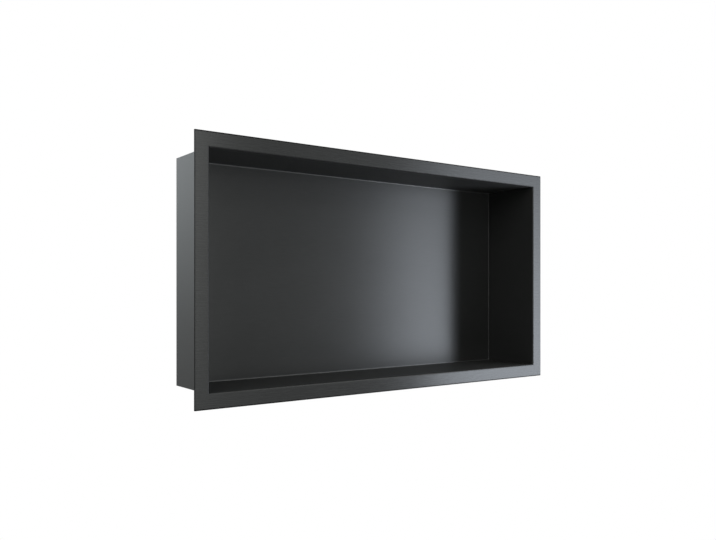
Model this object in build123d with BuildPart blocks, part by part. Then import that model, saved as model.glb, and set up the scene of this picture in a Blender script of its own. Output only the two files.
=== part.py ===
from build123d import *
import os

os.makedirs("parts", exist_ok=True)

# A niche liner for a shower wall: a shallow tray folded from one sheet, with a flange turned outwards
# round its mouth. The flange lies on the finished wall and the box goes into it. The corners of the box
# and of the flange are welded and ground flush, so the whole tray is one piece.
# The origin is the centre of the opening, in the plane of the flange's back face.
# +X is to the right seen from the room, +Y goes into the wall and +Z is up. Sizes are in millimetres.

# The opening, between the inner faces of the walls
opening_width = 600.0
opening_height = 300.0

# From the front of the flange to the outside of the back panel
overall_depth = 100.0

# From the inner face of a wall to the outer edge of the flange
flange_width = 20.0

# The sheet, and the radius on the inside of every bend
sheet = 1.2
bend_inside = 0.8

# The four corners of the flange, seen from the front, and its deburred front edge
corner_radius = 1.0
edge_softening = 0.4

# Planes that follow, front to back: the flange's front is one sheet in front of the origin
flange_front = -sheet
box_back = flange_front + overall_depth

# The fold is drawn along the middle of the sheet, so that the sheet is equally thick round each bend
half_sheet = sheet / 2
bend_middle = bend_inside + half_sheet
flange_middle = flange_front + half_sheet
back_middle = box_back - half_sheet
wall_middle = opening_height / 2 + half_sheet
flange_edge = opening_height / 2 + flange_width

# The fold ends a little way in from the rear bends, and the flat of the back panel fills the rest
panel_inset = 2 * bend_inside
panel_width = opening_width - 2 * panel_inset
panel_height = opening_height - 2 * panel_inset

with BuildPart() as niche_body:
    # Section through the lower wall: along the flange, over the lip into the opening, back along the
    # wall, and round the rear bend on to the back panel
    with BuildSketch(Plane.YZ) as folded_sheet:
        with BuildLine() as middle_of_sheet:
            FilletPolyline(
                (flange_middle, -flange_edge),
                (flange_middle, -wall_middle),
                (back_middle, -wall_middle),
                (back_middle, -panel_height / 2),
                radius=bend_middle,
            )
        trace(line_width=sheet)

    # The section goes once round the opening, from the middle of the lower wall, and meets itself in a
    # mitre at each corner
    with BuildLine() as opening_outline:
        Polyline(
            (0, 0, -opening_height / 2),
            (opening_width / 2, 0, -opening_height / 2),
            (opening_width / 2, 0, opening_height / 2),
            (-opening_width / 2, 0, opening_height / 2),
            (-opening_width / 2, 0, -opening_height / 2),
            close=True,
        )
    sweep(path=opening_outline.wire(), transition=Transition.RIGHT)

    # Flat of the back panel, built forwards from its outside
    with BuildSketch(Plane.XZ.offset(-box_back)) as back_panel:
        Rectangle(panel_width, panel_height)
    extrude(amount=sheet)

    # The flange's corners are its only edges one sheet long
    flange_corners = niche_body.edges().filter_by(Axis.Y).group_by(SortBy.LENGTH)[0]
    fillet(flange_corners, radius=corner_radius)
    front_of_flange = niche_body.faces().sort_by(Axis.Y)[0]
    fillet(front_of_flange.outer_wire().edges(), radius=edge_softening)

niche_body.part.label = "niche_body"
export_step(niche_body.part, "parts/niche_body.step")
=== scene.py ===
import math
import bpy
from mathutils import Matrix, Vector


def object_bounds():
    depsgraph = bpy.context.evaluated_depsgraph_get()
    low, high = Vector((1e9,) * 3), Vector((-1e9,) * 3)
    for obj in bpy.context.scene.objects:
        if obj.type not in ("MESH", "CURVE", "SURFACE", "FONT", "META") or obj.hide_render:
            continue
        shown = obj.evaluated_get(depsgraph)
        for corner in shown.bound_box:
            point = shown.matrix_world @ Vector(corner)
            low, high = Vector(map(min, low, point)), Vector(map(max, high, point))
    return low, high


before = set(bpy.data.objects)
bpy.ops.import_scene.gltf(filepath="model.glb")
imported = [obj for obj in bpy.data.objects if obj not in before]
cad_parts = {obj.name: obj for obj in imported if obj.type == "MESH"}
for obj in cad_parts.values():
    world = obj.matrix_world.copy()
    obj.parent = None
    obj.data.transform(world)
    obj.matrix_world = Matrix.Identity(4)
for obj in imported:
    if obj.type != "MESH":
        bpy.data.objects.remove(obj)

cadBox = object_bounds()
halfWidth = cadBox[1].x                    # of the flange, from the middle of the opening
halfHeight = cadBox[1].z
flangeWidth, sheet = 0.020, 0.0012         # in metres, as in the CAD
openingTop = halfHeight - flangeWidth
backInside = cadBox[1].y - sheet           # front of the back panel
print("frame loaded:", sorted(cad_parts))


def addNode(tree, kind, place, **settings):
    node = tree.nodes.new(kind)
    node.location = place
    for name, value in settings.items():
        setattr(node, name, value)
    return node


# Joins a socket to another node, or sets a plain value on it
def feed(tree, socket, value):
    if isinstance(value, bpy.types.NodeSocket):
        tree.links.new(value, socket)
    else:
        socket.default_value = value


def doMath(tree, place, operation, *values):
    node = addNode(tree, "ShaderNodeMath", place, operation=operation)
    for socket, value in zip(node.inputs, values):
        feed(tree, socket, value)
    return node.outputs[0]


def splitVector(tree, place, vector):
    node = addNode(tree, "ShaderNodeSeparateXYZ", place)
    tree.links.new(vector, node.inputs[0])
    return node.outputs


# Goes softly from atLow to atHigh while the value goes from low to high
def ramp(tree, place, value, low, high, atLow=0.0, atHigh=1.0):
    node = addNode(tree, "ShaderNodeMapRange", place, interpolation_type="SMOOTHSTEP")
    names = ("Value", "From Min", "From Max", "To Min", "To Max")
    for name, v in zip(names, (value, low, high, atLow, atHigh)):
        feed(tree, node.inputs[name], v)
    return node.outputs["Result"]


def pick(tree, place, factor, a, b):
    node = addNode(tree, "ShaderNodeMix", place)
    feed(tree, node.inputs["Factor"], factor)
    feed(tree, node.inputs["A"], a)
    feed(tree, node.inputs["B"], b)
    return node.outputs["Result"]


# Camera: left of the niche and just below its middle, dead level as in the photo
cameraSet = {
    "place": (-0.680, -0.7942, -0.0235),
    "turnRight": 34.42,          # degrees from straight into the wall
    "lens": 35.87,               # in mm, on a sensor this wide
    "sensor": 36,
    "shift": (0.0528, 0.0274),
}


def makeCamera(c):
    data = bpy.data.cameras.new("photoCamera")
    data.sensor_width = c["sensor"]
    data.lens = c["lens"]
    data.shift_x, data.shift_y = c["shift"]
    camera = bpy.data.objects.new("photoCamera", data)
    camera.location = c["place"]
    camera.rotation_euler = (math.radians(90), 0, math.radians(-c["turnRight"]))
    bpy.context.scene.collection.objects.link(camera)
    bpy.context.scene.camera = camera


makeCamera(cameraSet)
print("camera placed")


# The niche: one sheet of steel, brushed along its length and coated gunmetal. Lengths are in metres. In
# the three grains a colour or roughness says how far it strays either way. On the edges and bends a colour
# is a factor on the coating's own, and a roughness is added to it, as it is on the walls and the flange
gunmetal = {
    "colour": (0.0340, 0.0350, 0.0341, 1),
    "metallic": 0.635,
    "edgeTint": 0.69,            # how much of its shine the coating keeps at a grazing angle
    "roughness": 0.323,
    "acrossGrain": 0.77,         # brushed steel spreads a reflection across its grain,
    "spreadAlong": (0, 0.01, 1), # which is up, or front to back where a face lies flat
    "fine": {"across": 0.00030, "along": 0.018, "colour": 0.16, "roughness": 0.03},
    "streak": {"across": 0.0016, "along": 0.10, "colour": 0.035, "roughness": 0.012},
    "cloud": {"across": 0.06, "along": 0.09, "colour": 0.05, "roughness": 0.01},
    "grainDepth": 0.02,          # faces this far apart differ in their grain
    "grainDetail": 2.0,
    "bump": 0.000010,
    "wallsInside": 0.06,         # the four walls inside are harder to brush, so that much duller
    "flange": {"inFrontOf": -0.0006, "roughness": -0.05},  # polished finer, as it stays in view
    # painted shade and a darker cut-edge tone on the flange's edges; on its left rim it is painted shade
    # only
    "cutEdgeAndShade": {"width": 0.0014, "leftIn": 0.0005, "fade": 0.0004, "colour": 0.28, "roughness": 0.1},
    # painted shade on the bends from the flange into the opening
    "frontBendShade": {"reach": 0.003, "colour": 0.6, "roughness": 0.1},
    # painted highlight along the rear bends, and painted light on the panel beside them
    "rearBendHighlight": {"width": 0.0014, "fade": 0.0004, "colour": 2.3, "reach": 0.045, "paintedLightBeside": 1.26},
}

# How far a surface faces away from the middle of the opening, in metres. It is below -0.14 on the four
# walls inside and about -0.098 on the front of the back panel, so each pair is a limit with a soft end
wallLimit = (-0.14, -0.11)
insideLimit = (-0.095, -0.08)
squareOn = 0.7                   # a face looks sideways, or up or down, where its normal has more than this
bendTurn = (0.08, 0.25)          # two parts of the normal, multiplied: above this on a bend, 0 on a flat
panelSkin = 0.0005               # what is less than this far in front of the back panel is on the panel


def readSurface(tree):
    coordinates = addNode(tree, "ShaderNodeTexCoord", (-1800, 0))
    geometry = addNode(tree, "ShaderNodeNewGeometry", (-1800, -300))
    place, normal = coordinates.outputs["Object"], geometry.outputs["Normal"]
    away = addNode(tree, "ShaderNodeVectorMath", (-1240, -600), operation="DOT_PRODUCT")
    tree.links.new(place, away.inputs[0])
    tree.links.new(normal, away.inputs[1])
    surface = dict(zip("xyz", splitVector(tree, (-1600, 0), place)))
    surface["normal"] = splitVector(tree, (-1600, -300), normal)
    surface["sideways"] = doMath(tree, (-1420, -300), "ABSOLUTE", surface["normal"][0])
    surface["upright"] = doMath(tree, (-1420, -450), "ABSOLUTE", surface["normal"][2])
    surface["onSide"] = doMath(tree, (-1240, -300), "GREATER_THAN", surface["sideways"], squareOn)
    surface["onFlat"] = doMath(tree, (-1240, -450), "GREATER_THAN", surface["upright"], squareOn)
    surface["away"] = away.outputs["Value"]
    return surface


def makeGrain(tree, g, layer, distances, place):
    x, y = place
    scales = (layer["along"], layer["across"], g["grainDepth"])
    vector = addNode(tree, "ShaderNodeCombineXYZ", (x, y))
    for i, (distance, scale) in enumerate(zip(distances, scales)):
        feed(tree, vector.inputs[i], doMath(tree, (x - 180, y + 60 - 120 * i), "DIVIDE", distance, scale))
    noise = addNode(tree, "ShaderNodeTexNoise", (x + 180, y))
    feed(tree, noise.inputs["Vector"], vector.outputs[0])
    noise.inputs["Scale"].default_value = 1.0
    noise.inputs["Detail"].default_value = g["grainDetail"]
    return doMath(tree, (x + 360, y), "SUBTRACT", noise.outputs[0], 0.5)


# The long cut edges of the flange are darker than its face: their own tone with painted shade in it. The rim
# of its left edge is darker as painted shade alone, left off the right edge, which faces the lamps
def findEdgeToneAndShade(tree, edge, s):
    upOrDown = doMath(tree, (-880, -900), "ABSOLUTE", s["z"])
    nearLong = doMath(tree, (-700, -900), "SUBTRACT", upOrDown, halfHeight)
    nearLeft = doMath(tree, (-880, -1060), "SUBTRACT", -halfWidth - edge["leftIn"], s["x"])
    nearLeft = doMath(tree, (-700, -1060), "SUBTRACT", nearLeft, s["onSide"])
    nearEdge = doMath(tree, (-520, -900), "MAXIMUM", nearLong, nearLeft)
    return ramp(tree, (-340, -900), nearEdge, -edge["width"] - edge["fade"], -edge["width"])


# The bends from the flange into the opening are darker as well, as painted shade, except the one that faces
# up, which catches the light
def findShadedFrontBend(tree, shadedBends, s):
    down = doMath(tree, (-1240, -1150), "MULTIPLY", s["normal"][2], -1)
    turned = doMath(tree, (-1060, -1150), "MAXIMUM", s["sideways"], down)
    outOrIn = doMath(tree, (-1060, -1300), "ABSOLUTE", s["normal"][1])
    turned = doMath(tree, (-880, -1150), "MULTIPLY", turned, outOrIn)
    inFront = doMath(tree, (-880, -1300), "LESS_THAN", s["y"], shadedBends["reach"])
    return doMath(tree, (-520, -1150), "MULTIPLY", ramp(tree, (-700, -1150), turned, *bendTurn), inFront)


# A painted highlight runs along the two long bends at the rear, and painted light makes the panel lighter
# beside them
def paintRearHighlight(tree, rear, s):
    upOrDown = doMath(tree, (-1240, -1500), "ABSOLUTE", s["z"])
    fromWall = doMath(tree, (-1060, -1500), "SUBTRACT", openingTop, upOrDown)
    fromBack = doMath(tree, (-1060, -1800), "SUBTRACT", backInside, s["y"])
    fromBend = doMath(tree, (-700, -1500), "MAXIMUM", fromWall, fromBack)
    inside = ramp(tree, (-520, -1700), s["away"], *insideLimit, 1.0, 0.0)
    onPaintedHighlight = ramp(tree, (-520, -1500), fromBend, rear["width"], rear["width"] + rear["fade"], 1.0, 0.0)
    onPaintedHighlight = doMath(tree, (-340, -1500), "MULTIPLY", onPaintedHighlight, inside)
    onPanel = doMath(tree, (-520, -1900), "LESS_THAN", fromBack, panelSkin)
    onPanel = doMath(tree, (-340, -1900), "MULTIPLY", onPanel, inside)
    paintedLightBeside = ramp(tree, (-340, -2060), fromWall, 0.0, rear["reach"], rear["paintedLightBeside"], 1.0)
    line = pick(tree, (-160, -1500), onPaintedHighlight, 1.0, rear["colour"])
    return doMath(tree, (160, -1500), "MAXIMUM", line, pick(tree, (-160, -1900), onPanel, 1.0, paintedLightBeside))


def makeGunmetal(g):
    material = bpy.data.materials.new("brushedGunmetal")
    material.use_nodes = True
    tree = material.node_tree
    shader = tree.nodes["Principled BSDF"]
    shader.location = (900, 0)
    shader.inputs["Metallic"].default_value = g["metallic"]
    shader.inputs["Specular IOR Level"].default_value = 0.0       # it has no shine but the metal's
    shader.inputs["Specular Tint"].default_value = (g["edgeTint"], g["edgeTint"], g["edgeTint"], 1)
    shader.inputs["Anisotropic"].default_value = g["acrossGrain"]
    s = readSurface(tree)

    # The grain runs along the sheet: left to right, and front to back on the two side walls
    along = pick(tree, (-1060, 100), s["onSide"], s["x"], s["y"])
    across = pick(tree, (-1060, -80), s["onFlat"], s["z"], s["y"])
    depth = pick(tree, (-1060, -440), s["onFlat"], s["y"], s["z"])
    depth = pick(tree, (-1060, -260), s["onSide"], depth, s["x"])

    colour, roughness = 1.0, g["roughness"]
    grains = {}
    for row, name in zip((500, 100, -300), ("fine", "streak", "cloud")):
        grain = makeGrain(tree, g, g[name], (along, across, depth), (-700, row))
        colour = doMath(tree, (-100, row), "MULTIPLY_ADD", grain, g[name]["colour"] * 2, colour)
        roughness = doMath(tree, (80, row), "MULTIPLY_ADD", grain, g[name]["roughness"] * 2, roughness)
        grains[name] = grain

    onWall = ramp(tree, (-1060, -600), s["away"], *wallLimit, 1.0, 0.0)
    roughness = doMath(tree, (170, -400), "MULTIPLY_ADD", onWall, g["wallsInside"], roughness)
    onFlange = doMath(tree, (30, -560), "LESS_THAN", s["y"], g["flange"]["inFrontOf"])
    roughness = doMath(tree, (210, -560), "MULTIPLY_ADD", onFlange, g["flange"]["roughness"], roughness)

    onEdgeAndShade = findEdgeToneAndShade(tree, g["cutEdgeAndShade"], s)
    onShadedBend = findShadedFrontBend(tree, g["frontBendShade"], s)
    # Painted shade darkens the coating on the cut edges, whose own tone is darker too, and on the front
    # bends
    for x, mask, name in ((260, onEdgeAndShade, "cutEdgeAndShade"), (420, onShadedBend, "frontBendShade")):
        darker = pick(tree, (x - 180, -800), mask, 1.0, g[name]["colour"])
        colour = doMath(tree, (x, 0), "MULTIPLY", colour, darker)
        roughness = doMath(tree, (x, -200), "MULTIPLY_ADD", mask, g[name]["roughness"], roughness)
    # Painted highlight along the rear bends and painted light on the panel beside them
    colour = doMath(tree, (520, 0), "MULTIPLY", colour, paintRearHighlight(tree, g["rearBendHighlight"], s))

    tint = addNode(tree, "ShaderNodeVectorMath", (560, 100), operation="SCALE")
    tint.inputs[0].default_value = g["colour"][:3]
    feed(tree, tint.inputs["Scale"], colour)
    tree.links.new(tint.outputs[0], shader.inputs["Base Color"])
    tree.links.new(roughness, shader.inputs["Roughness"])
    bump = addNode(tree, "ShaderNodeBump", (560, -400))
    bump.inputs["Distance"].default_value = g["bump"]
    tree.links.new(grains["fine"], bump.inputs["Height"])
    tree.links.new(bump.outputs[0], shader.inputs["Normal"])
    spread = addNode(tree, "ShaderNodeCombineXYZ", (560, -600))
    for socket, part in zip(spread.inputs, g["spreadAlong"]):
        socket.default_value = part
    tree.links.new(spread.outputs[0], shader.inputs["Tangent"])
    return material


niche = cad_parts["niche_body"]
coating = makeGunmetal(gunmetal)
for slot in niche.material_slots:
    slot.material = coating
print("niche finished, faces:", len(niche.data.polygons))


# True where a ray comes from the camera, or by way of metal or glass
def whereSeen(tree, place):
    x, y = place
    path = addNode(tree, "ShaderNodeLightPath", (x - 400, y))
    kinds = ("Camera", "Glossy", "Transmission")
    camera, metal, glass = (path.outputs["Is %s Ray" % kind] for kind in kinds)
    seen = doMath(tree, (x - 200, y), "MAXIMUM", camera, metal)
    return doMath(tree, (x, y), "MAXIMUM", seen, glass)


# Pale floor well below the niche, which hangs in a wall when it is used
floorSet = {
    "drop": 0.6,
    "size": 14,
    "colour": (0.9, 0.9, 0.9, 1),
    "roughness": 0.8,
    "plainAt": (0.5, 1.05),      # from here outwards the floor turns to plain white
    "whiteBelow": 0.4,           # and this is how white it is right below the niche
}


def makeFloor(f):
    height = cadBox[0].z - f["drop"]
    bpy.ops.mesh.primitive_plane_add(size=f["size"], location=(0, 0, height))
    floor = bpy.context.object
    floor.name = "paleFloor"
    material = bpy.data.materials.new("paleFloor")
    material.use_nodes = True
    tree = material.node_tree
    shader = tree.nodes["Principled BSDF"]
    shader.inputs["Base Color"].default_value = f["colour"]
    shader.inputs["Roughness"].default_value = f["roughness"]
    white = addNode(tree, "ShaderNodeEmission", (0, -300))
    coordinates = addNode(tree, "ShaderNodeTexCoord", (-1000, 300))
    reach = addNode(tree, "ShaderNodeVectorMath", (-800, 300), operation="LENGTH")
    tree.links.new(coordinates.outputs["Object"], reach.inputs[0])
    outside = ramp(tree, (-600, 300), reach.outputs["Value"], *f["plainAt"], f["whiteBelow"], 1.0)
    whiter = doMath(tree, (-400, 100), "MULTIPLY", outside, whereSeen(tree, (-600, 0)))
    mix = addNode(tree, "ShaderNodeMixShader", (300, 0))
    tree.links.new(whiter, mix.inputs[0])
    tree.links.new(shader.outputs[0], mix.inputs[1])
    tree.links.new(white.outputs[0], mix.inputs[2])
    tree.links.new(mix.outputs[0], tree.nodes["Material Output"].inputs["Surface"])
    floor.data.materials.append(material)


makeFloor(floorSet)
print("floor laid")


# World: white where it is seen, directly or in the metal, and a plain level for everything it lights
worldSet = {"seen": 1.0, "lights": 0.2}


def makeWorld(w):
    world = bpy.data.worlds.new("studio")
    bpy.context.scene.world = world
    world.use_nodes = True
    tree = world.node_tree
    background = tree.nodes["Background"]
    strength = pick(tree, (-20, 0), whereSeen(tree, (-200, 0)), w["lights"], w["seen"])
    tree.links.new(strength, background.inputs["Strength"])
    background.inputs["Color"].default_value = (1, 1, 1, 1)


makeWorld(worldSet)
print("world lit")


# Soft lamps, none of them in the camera's view. Strength is the brightness of the panel itself. A fade
# says where it starts and ends, as shares of the panel, and the level before and after it
lamps = {
    "rightBank": {"place": (1.235, -0.860, 0.146), "size": (0.668, 1.5), "strength": 14.0,
                  "fade": (0.06, 1.0, 1.0, 0.085), "sideFade": (0.0, 0.167), "colour": (0.93, 0.975, 1.105)},
    "frontLeft": {"place": (0.103, -1.4, 0.29), "size": (0.50, 1.3), "strength": 3.3,
                  "fade": (0.0, 1.0, 0.87, 1.0), "colour": (1, 1, 1)},
    "backLeft": {"place": (-1.0, 1.55, 0.25), "size": (1.0, 1.2), "strength": 6.4,
                 "fade": (0.0, 1.0, 0.027, 1.0), "colour": (0.935, 1.0, 1.05)},
    "backRight": {"place": (1.35, 1.35, 0.1), "size": (0.9, 1.2), "strength": 4.5,
                  "fade": (0.0, 1.0, 0.2, 1.0), "colour": (0.98, 1.0, 1.03)},
    "upperRight": {"place": (0.9, -0.455, 1.3), "size": (0.9, 0.9), "strength": 3.0, "colour": (1, 1, 1)},
    "key": {"place": (-1.6, -0.7, 0.7), "size": (0.9, 0.9), "strength": 7.8, "colour": (1, 1, 1)},
}


def makeLamp(name, l):
    data = bpy.data.lights.new(name, "AREA")
    data.shape = "RECTANGLE"
    data.size, data.size_y = l["size"]
    data.energy = l["strength"] * math.pi * data.size * data.size_y
    data.color = l["colour"]
    data.use_nodes = True
    tree = data.node_tree
    coordinates = addNode(tree, "ShaderNodeTexCoord", (-800, 0))
    across, up, _ = splitVector(tree, (-600, 0), coordinates.outputs["UV"])
    level = 1.0
    for y, distance, fade in ((0, up, l.get("fade")), (-300, across, l.get("sideFade"))):
        if fade:
            level = doMath(tree, (-200, y), "MULTIPLY", level, ramp(tree, (-400, y), distance, *fade))
    feed(tree, tree.nodes["Emission"].inputs["Strength"], level)
    lamp = bpy.data.objects.new(name, data)
    lamp.location = l["place"]
    aim = Vector((0, 0, 0)) - Vector(l["place"])
    lamp.rotation_euler = aim.to_track_quat("-Z", "Y").to_euler()
    lamp.visible_camera = False
    bpy.context.scene.collection.objects.link(lamp)


for name, l in lamps.items():
    makeLamp(name, l)
print("lamps placed:", len(lamps))

bpy.context.scene.view_settings.view_transform = "Standard"
